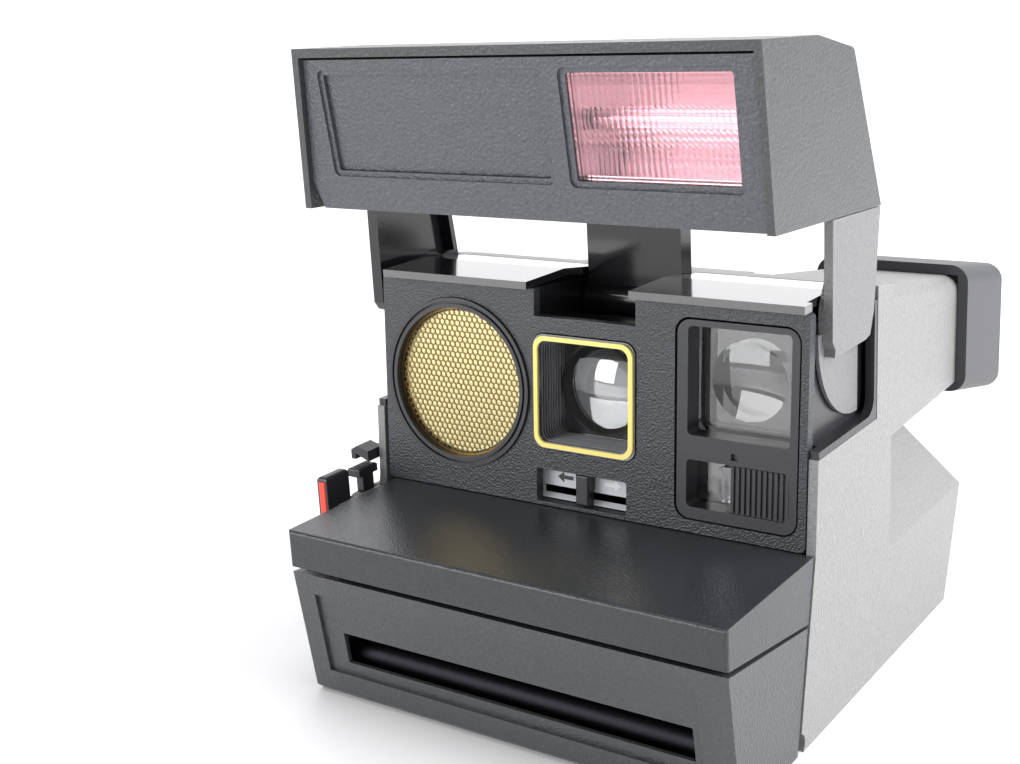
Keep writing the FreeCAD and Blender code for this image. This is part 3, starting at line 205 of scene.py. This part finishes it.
def glass(name, colour, rough, coat=0.0, coat_ior=1.5):
    """Clear glass or clear plastic, with no grain."""
    material, tree, shader = principled(name)
    shader.inputs["Base Color"].default_value = (*colour, 1)
    shader.inputs["Roughness"].default_value = rough
    shader.inputs["IOR"].default_value = 1.49
    shader.inputs["Transmission Weight"].default_value = 1.0
    shader.inputs["Coat Weight"].default_value = coat
    shader.inputs["Coat IOR"].default_value = coat_ior
    return material


# %% [markdown]
# The finishes. Black plastics differ in gloss and in how coarse their grain is. Each row has a
# name, a kind, a base colour, a roughness, and what differs from that kind's own values.

# %%
COARSE = dict(scale=1500, distance=0.00022)
SMOOTH = dict(scale=2000, depth=0.03)
BRIGHT = dict(scale=2000, depth=0.05, speckle=0.03)
FINISHES = [
    ("shell_black", plastic, (0.050, 0.052, 0.055), 0.30, dict(COARSE, depth=0.55, speckle=0.45)),
    # shell_grey and arm_grey are the body's dark charcoal plastic given a lighter grey: painted
    # light, for how the strong light from the right makes those faces look.
    ("shell_grey", plastic, (0.21, 0.21, 0.208), 0.42, dict(COARSE, depth=0.5, speckle=0.3)),
    ("arm_grey", plastic, (0.15, 0.15, 0.153), 0.40, dict(COARSE, depth=0.4, speckle=0.3)),
    ("face_black", plastic, (0.026, 0.028, 0.034), 0.30,
     dict(scale=2100, depth=0.8, distance=0.00016, speckle=0.8)),
    ("panel_black", plastic, (0.074, 0.077, 0.088), 0.32, dict(COARSE, depth=0.7, speckle=0.5)),
    ("smooth_black", plastic, (0.012, 0.012, 0.014), 0.14, SMOOTH),
    ("gloss_black", plastic, (0.012, 0.012, 0.014), 0.12, dict(SMOOTH, coat=1.0, coat_ior=1.9)),
    ("shelf_black", plastic, (0.024, 0.026, 0.030), 0.20,
     dict(scale=2100, depth=0.5, distance=0.00012, speckle=0.6)),
    ("rib_grey", plastic, (0.16, 0.165, 0.18), 0.25, SMOOTH),
    ("satin_black", plastic, (0.020, 0.020, 0.024), 0.28, dict(scale=1800, depth=0.1)),
    # The hood's edges get a strong painted highlight.
    ("hood_black", plastic, (0.030, 0.030, 0.034), 0.2,
     dict(scale=1800, depth=0.03, edge=0.9, coat=1.0, coat_ior=2.0)),
    ("rubber_grey", plastic, (0.040, 0.041, 0.047), 0.45, dict(scale=2400, depth=0.15)),
    ("yellow", plastic, (0.90, 0.74, 0.20), 0.3, BRIGHT),
    ("red", plastic, (0.80, 0.06, 0.03), 0.3, BRIGHT),
    ("white", plastic, (0.62, 0.64, 0.68), 0.3, BRIGHT),
    ("gear_white", plastic, (0.82, 0.83, 0.84), 0.45, dict(scale=2000, depth=0.1, speckle=0.05)),
    ("inner_black", plastic, (0.008, 0.008, 0.008), 0.6, dict(scale=1500, depth=0.2)),
    ("board_green", plastic, (0.02, 0.11, 0.04), 0.35, dict(scale=900, depth=0.2)),
    ("capacitor_sleeve", plastic, (0.015, 0.03, 0.13), 0.3, dict(scale=1500, depth=0.05)),
    ("gold_mesh", metal, (0.20, 0.13, 0.05), 0.38, {}),
    ("gold_foil", metal, (1.0, 0.95, 0.55), 0.5, dict(scale=200, metallic=0.6)),
    ("brass_contact", metal, (0.75, 0.55, 0.24), 0.3, {}),
    ("steel", metal, (0.55, 0.55, 0.56), 0.34, {}),
    ("dark_steel", metal, (0.018, 0.018, 0.022), 0.45, {}),
    ("chrome", metal, (0.75, 0.75, 0.76), 0.08, {}),
    ("aluminium", metal, (0.88, 0.88, 0.89), 0.14, dict(scale=500)),
    ("mirror", metal, (0.9, 0.9, 0.9), 0.01, dict(depth=0.0)),
    ("clear_glass", glass, (0.96, 0.98, 1.0), 0.02, dict(coat=1.0, coat_ior=2.3)),
    ("clear_plastic", glass, (0.95, 0.96, 0.97), 0.03, dict(coat=1.0, coat_ior=1.6)),
    ("flash_diffuser", glass, (0.92, 0.62, 0.66), 0.0, {}),
]
LOOKS = {name: kind(name, colour, rough, **own) for name, kind, colour, rough, own in FINISHES}

# These nodes share a slot with others but have their own shade or gloss. The finder-side arm's
# lighter grey is painted light, standing for the strong light from the right on it.
OWN_LOOKS = {
    "top_plate": "gloss_black",
    "shelf_cover": "shelf_black",
    "flash_arm_finder_side": "arm_grey",
    "flash_arm_grip_side": "smooth_black",
    "flash_front_panel": "panel_black",
    "flash_name_plate": "panel_black",
    "lens_shroud": "hood_black",
    "roller_lower": "dark_steel",
    "roller_upper": "dark_steel",
}
slot_of = {entry["node"]: entry["material_slot"] for entry in frame["record"]["subparts"]}
for node, obj in frame["nodes"].items():
    obj.data.materials.clear()
    obj.data.materials.append(LOOKS[OWN_LOOKS.get(node, slot_of[node])])
print(len(LOOKS), "finishes on", len(slot_of), "nodes")

# %% [markdown]
# Fine detail is drawn upright (x across, y in, z up) and then turned to the plane it lies in: the
# face of the camera leans back a little, and the front of the flash unit leans forward. Each
# drawing below gives points and faces, and mesh_piece makes them a piece that rides on a CAD body.

# %%
FACE_LEAN = math.radians(3.8)
FLASH_LEAN = math.radians(8.26)


def plane_at(node, lean):
    """A frame that leans back by lean, with its origin at the middle of a CAD node's box."""
    low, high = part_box(node)
    return Matrix.Translation((low + high) / 2) @ Matrix.Rotation(-lean, 4, "X")


def node_width(node):
    low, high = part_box(node)
    return high.x - low.x


def add_object(name, data):
    obj = bpy.data.objects.new(name, data)
    bpy.context.scene.collection.objects.link(obj)
    return obj


def mesh_piece(name, drawing, matrix, body, look):
    points, faces = drawing
    mesh = bpy.data.meshes.new(name)
    mesh.from_pydata(points, [], faces)
    mesh.transform(matrix)
    mesh.validate()
    mesh.update()
    obj = add_object(name, mesh)
    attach(obj, body)
    mesh.materials.append(LOOKS[look])
    return obj


def tube_walls(start, count):
    """Faces between four loops of count points: two in front, then the same two behind."""
    a, b, c, d = (start + n * count for n in range(4))
    faces = []
    for i in range(count):
        j = (i + 1) % count
        faces += [(a + i, a + j, b + j, b + i), (b + i, b + j, d + j, d + i),
                  (d + i, d + j, c + j, c + i), (c + i, c + j, a + j, a + i)]
    return faces


# %% [markdown]
# The sonar's grille is a sheet of brass pierced with six-sided holes. Each cell is a hexagon with a
# hexagonal hole, given a thickness; the last row is trimmed to the rim and a thin ring closes it.

# %%
MESH_PITCH = 0.00152   # from hole to hole
MESH_WEB = 0.00028     # metal between two holes
MESH_THICK = 0.0003
# These three are shares of the pitch, measured in from the rim.
CELL_LIMIT = 0.45      # a cell is left out if its centre is nearer to the rim
TRIM = 0.1             # cells are trimmed to this line
RING = 0.35            # width of the closing ring
RING_STEPS = 96


def hexagon(cx, cz, radius):
    turns = [math.pi / 6 + i * math.pi / 3 for i in range(6)]
    return [(cx + radius * math.cos(a), cz + radius * math.sin(a)) for a in turns]


def trimmed(x, z, radius):
    """A point pulled in to the radius if it lies outside it."""
    share = min(1.0, radius / max(math.hypot(x, z), 1e-9))
    return x * share, z * share


def honeycomb(radius):
    points, faces = [], []
    outer_r = MESH_PITCH / math.sqrt(3)
    inner_r = (MESH_PITCH - MESH_WEB) / math.sqrt(3)
    row_pitch = MESH_PITCH * math.sqrt(3) / 2
    rows = int(radius / row_pitch) + 1
    for row in range(-rows, rows + 1):
        cz = row * row_pitch
        for column in range(-rows - 1, rows + 2):
            cx = (column + (row % 2) / 2) * MESH_PITCH
            if math.hypot(cx, cz) > radius - MESH_PITCH * CELL_LIMIT:
                continue
            faces += tube_walls(len(points), 6)
            for y in (-MESH_THICK / 2, MESH_THICK / 2):
                for r in (outer_r, inner_r):
                    for corner in hexagon(cx, cz, r):
                        x, z = trimmed(*corner, radius - MESH_PITCH * TRIM)
                        points.append((x, y, z))
    faces += tube_walls(len(points), RING_STEPS)
    for y in (-MESH_THICK / 2, MESH_THICK / 2):
        for r in (radius - MESH_PITCH * RING, radius):
            turns = [2 * math.pi * i / RING_STEPS for i in range(RING_STEPS)]
            points += [(r * math.cos(a), y, r * math.sin(a)) for a in turns]
    return points, faces


grille = mesh_piece("sonar_mesh", honeycomb(node_width("sonar_grille") / 2),
                    plane_at("sonar_grille", FACE_LEAN), "camera_body", "gold_mesh")
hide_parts("sonar_grille")
print("grille points:", len(grille.data.vertices))

# %% [markdown]
# The lens hood is ribbed inside, so that it throws no light on the lens. Each rib is a thin rounded
# square that stands a little out of the hood's wall, and the ribs get smaller with depth.

# %%
RIB_COUNT = 8
RIB_FIRST = 0.0014     # depth of the first rib
RIB_PITCH = 0.00105
RIB_THICK = 0.00014
RIB_PROUD = 0.0003     # how far a rib stands out of the wall
RIB_HALF = 0.01222     # half the side of the first rib
RIB_SHRINK = 0.00004   # how much less that is for each next rib
RIB_CORNER = 0.0022    # corner radius at the wall
CORNER_STEPS = 5


def rounded_square(half, radius, y):
    points = []
    for quarter, (side, level) in enumerate(((1, 1), (-1, 1), (-1, -1), (1, -1))):
        for i in range(CORNER_STEPS + 1):
            a = quarter * math.pi / 2 + i * math.pi / 2 / CORNER_STEPS
            points.append(((half - radius) * side + radius * math.cos(a), y,
                           (half - radius) * level + radius * math.sin(a)))
    return points


def ribs():
    points, faces = [], []
    for k in range(RIB_COUNT):
        front = RIB_FIRST + k * RIB_PITCH
        half = RIB_HALF - RIB_SHRINK * k
        faces += tube_walls(len(points), 4 * (CORNER_STEPS + 1))
        for y in (front, front + RIB_THICK):
            points += rounded_square(half, RIB_CORNER, y)
            points += rounded_square(half - RIB_PROUD, RIB_CORNER - RIB_PROUD, y)
    return points, faces


mesh_piece("hood_ribs", ribs(), plane_at("lens_bezel", FACE_LEAN),
           "camera_body", "rib_grey")

# %% [markdown]
# The flash unit's window is a pane with fine upright flutes on its front, and a flat back.

# %%
PANE_HEIGHT = 0.0222
PANE_THICK = 0.0013
FLUTE_PITCH = 0.0014
FLUTE_DEPTH = 0.00012
FLUTE_STEPS = 6


def fluted_pane(width):
    count = round(width / FLUTE_PITCH) * FLUTE_STEPS
    points, faces = [], []
    for i in range(count + 1):
        x = -width / 2 + width * i / count
        front = -PANE_THICK / 2 + FLUTE_DEPTH * abs(math.sin(math.pi * i / FLUTE_STEPS))
        for z in (-PANE_HEIGHT / 2, PANE_HEIGHT / 2):
            points += [(x, front, z), (x, PANE_THICK / 2, z)]
    for i in range(count):
        a = 4 * i
        b = a + 4
        faces += [(a, b, b + 2, a + 2), (a + 1, a + 3, b + 3, b + 1),
                  (a, a + 1, b + 1, b), (a + 2, b + 2, b + 3, a + 3)]
    last = 4 * count
    faces += [(0, 2, 3, 1), (last, last + 1, last + 3, last + 2)]
    return points, faces


pane = mesh_piece("flash_pane", fluted_pane(node_width("flash_lens")),
                  plane_at("flash_lens", -FLASH_LEAN),
                  "flash_unit", "flash_diffuser")
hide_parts("flash_lens")

# %% [markdown]
# The exposure scale has one arrow each side of the knob: a dark one and a pale one.

# %%
ARROW_X = 0.0066    # from the middle of the strip
ARROW_Y = -0.00009  # just proud of the strip's front
ARROW_Z = -0.0004
ARROW_LENGTH = 0.0044
ARROW_HEIGHT = 0.0026
ARROW_HALF_THICK = 0.00004
HEAD_SHARE = 0.4    # of the arrow's length
SHAFT_SHARES = (0.32, 0.68)  # of its height, from the lower edge


def arrow(side):
    head = ARROW_LENGTH * HEAD_SHARE
    low, high = (ARROW_HEIGHT * share for share in SHAFT_SHARES)
    outline = [(0, ARROW_HEIGHT / 2), (head, ARROW_HEIGHT), (head, high), (ARROW_LENGTH, high),
               (ARROW_LENGTH, low), (head, low), (head, 0)]
    points = [(-side * (x - ARROW_LENGTH / 2), y, z - ARROW_HEIGHT / 2)
              for y in (-ARROW_HALF_THICK, ARROW_HALF_THICK) for x, z in outline]
    count = len(outline)
    faces = [tuple(range(count)), tuple(range(2 * count - 1, count - 1, -1))]
    faces += [(i, (i + 1) % count, count + (i + 1) % count, count + i) for i in range(count)]
    return points, faces


for name, side, look in (("scale_arrow_darker", -1, "smooth_black"),
                         ("scale_arrow_lighter", 1, "gear_white")):
    centre = Vector((side * ARROW_X, ARROW_Y, ARROW_Z))
    matrix = plane_at("exposure_scale", FACE_LEAN) @ Matrix.Translation(centre)
    mesh_piece(name, arrow(side), matrix, "camera_body", look)

# %% [markdown]
# A pale floor that curves up behind the camera, so that no horizon shows from the front.

# %%
FLOOR_FRONT = -2.0
FLOOR_BEND = 0.5       # where the floor starts to curve up, and the radius of that curve
FLOOR_TOP = 2.5
FLOOR_HALF_WIDTH = 3.0
FLOOR_STEPS = 16
FLOOR_TURN = math.radians(35)  # turns the bend to lie behind the camera in the view


def sweep_floor():
    turns = [math.pi / 2 * i / FLOOR_STEPS for i in range(1, FLOOR_STEPS + 1)]
    profile = [(FLOOR_FRONT, 0.0), (FLOOR_BEND, 0.0)]
    profile += [(FLOOR_BEND + FLOOR_BEND * math.sin(a), FLOOR_BEND - FLOOR_BEND * math.cos(a))
                for a in turns]
    profile.append((2 * FLOOR_BEND, FLOOR_TOP))
    points = [(x, y, z) for x in (-FLOOR_HALF_WIDTH, FLOOR_HALF_WIDTH) for y, z in profile]
    count = len(profile)
    faces = [(i, i + 1, count + i + 1, count + i) for i in range(count - 1)]
    mesh = bpy.data.meshes.new("floor")
    mesh.from_pydata(points, [], faces)
    for polygon in mesh.polygons:
        polygon.use_smooth = True
    floor = add_object("floor", mesh)
    floor.rotation_euler.z = FLOOR_TURN
    material, tree, shader = principled("floor_paper")
    shader.inputs["Base Color"].default_value = (0.86, 0.86, 0.87, 1)
    shader.inputs["Roughness"].default_value = 0.6
    mesh.materials.append(material)


sweep_floor()

# %% [markdown]
# Light: a large soft panel to the right and behind, as from a window, a weaker one above, another
# in front to the left, and a white surrounding that fills the shadows.

# %%
def panel(name, place, target, size, power):
    """A rectangular light at place that faces target. The size is in metres, the power in watts."""
    light = bpy.data.lights.new(name, "AREA")
    light.shape = "RECTANGLE"
    light.size, light.size_y = size
    light.energy = power
    obj = add_object(name, light)
    obj.location = place
    obj.rotation_euler = (Vector(target) - Vector(place)).to_track_quat("-Z", "Y").to_euler()


panel("window", (0.95, 0.30, 0.50), (0.0, 0.0, 0.07), (0.9, 0.9), 20)
panel("above", (0.0, 0.1, 1.1), (0.0, 0.0, 0.05), (0.9, 0.9), 5)
panel("front", (-0.6, -0.95, 0.35), (0.0, 0.0, 0.07), (0.8, 0.6), 7)
world = bpy.data.worlds.new("studio")
bpy.context.scene.world = world
world.use_nodes = True
sky = world.node_tree.nodes["Background"]
sky.inputs["Color"].default_value = (1.0, 1.0, 1.0, 1)
sky.inputs["Strength"].default_value = 0.75

# %% [markdown]
# The view is from the right of the camera and a little above it, and tilted slightly. Azimuth is
# counted from straight in front, and the angles are in degrees.

# %%
def look_from(place, azimuth, elevation, roll, lens, shift):
    az, el, r = map(math.radians, (azimuth, elevation, roll))
    back = Vector((math.sin(az) * math.cos(el), -math.cos(az) * math.cos(el), math.sin(el)))
    right = Vector((math.cos(az), math.sin(az), 0))
    up = back.cross(right)
    across = math.cos(r) * right + math.sin(r) * up
    upward = math.cos(r) * up - math.sin(r) * right
    data = bpy.data.cameras.new("view")
    data.sensor_width = 36
    data.lens = lens
    data.shift_x, data.shift_y = shift
    data.clip_start = 0.01
    obj = add_object("view", data)
    turn = Matrix((across, upward, back)).transposed().to_4x4()
    obj.matrix_world = Matrix.Translation(place) @ turn
    bpy.context.scene.camera = obj


look_from(place=(0.17745, -0.29854, 0.16805), azimuth=35.62, elevation=15.38, roll=-3.25,
          lens=51.907, shift=(0.0011, -0.0084))
bpy.context.scene.view_settings.view_transform = "Standard"
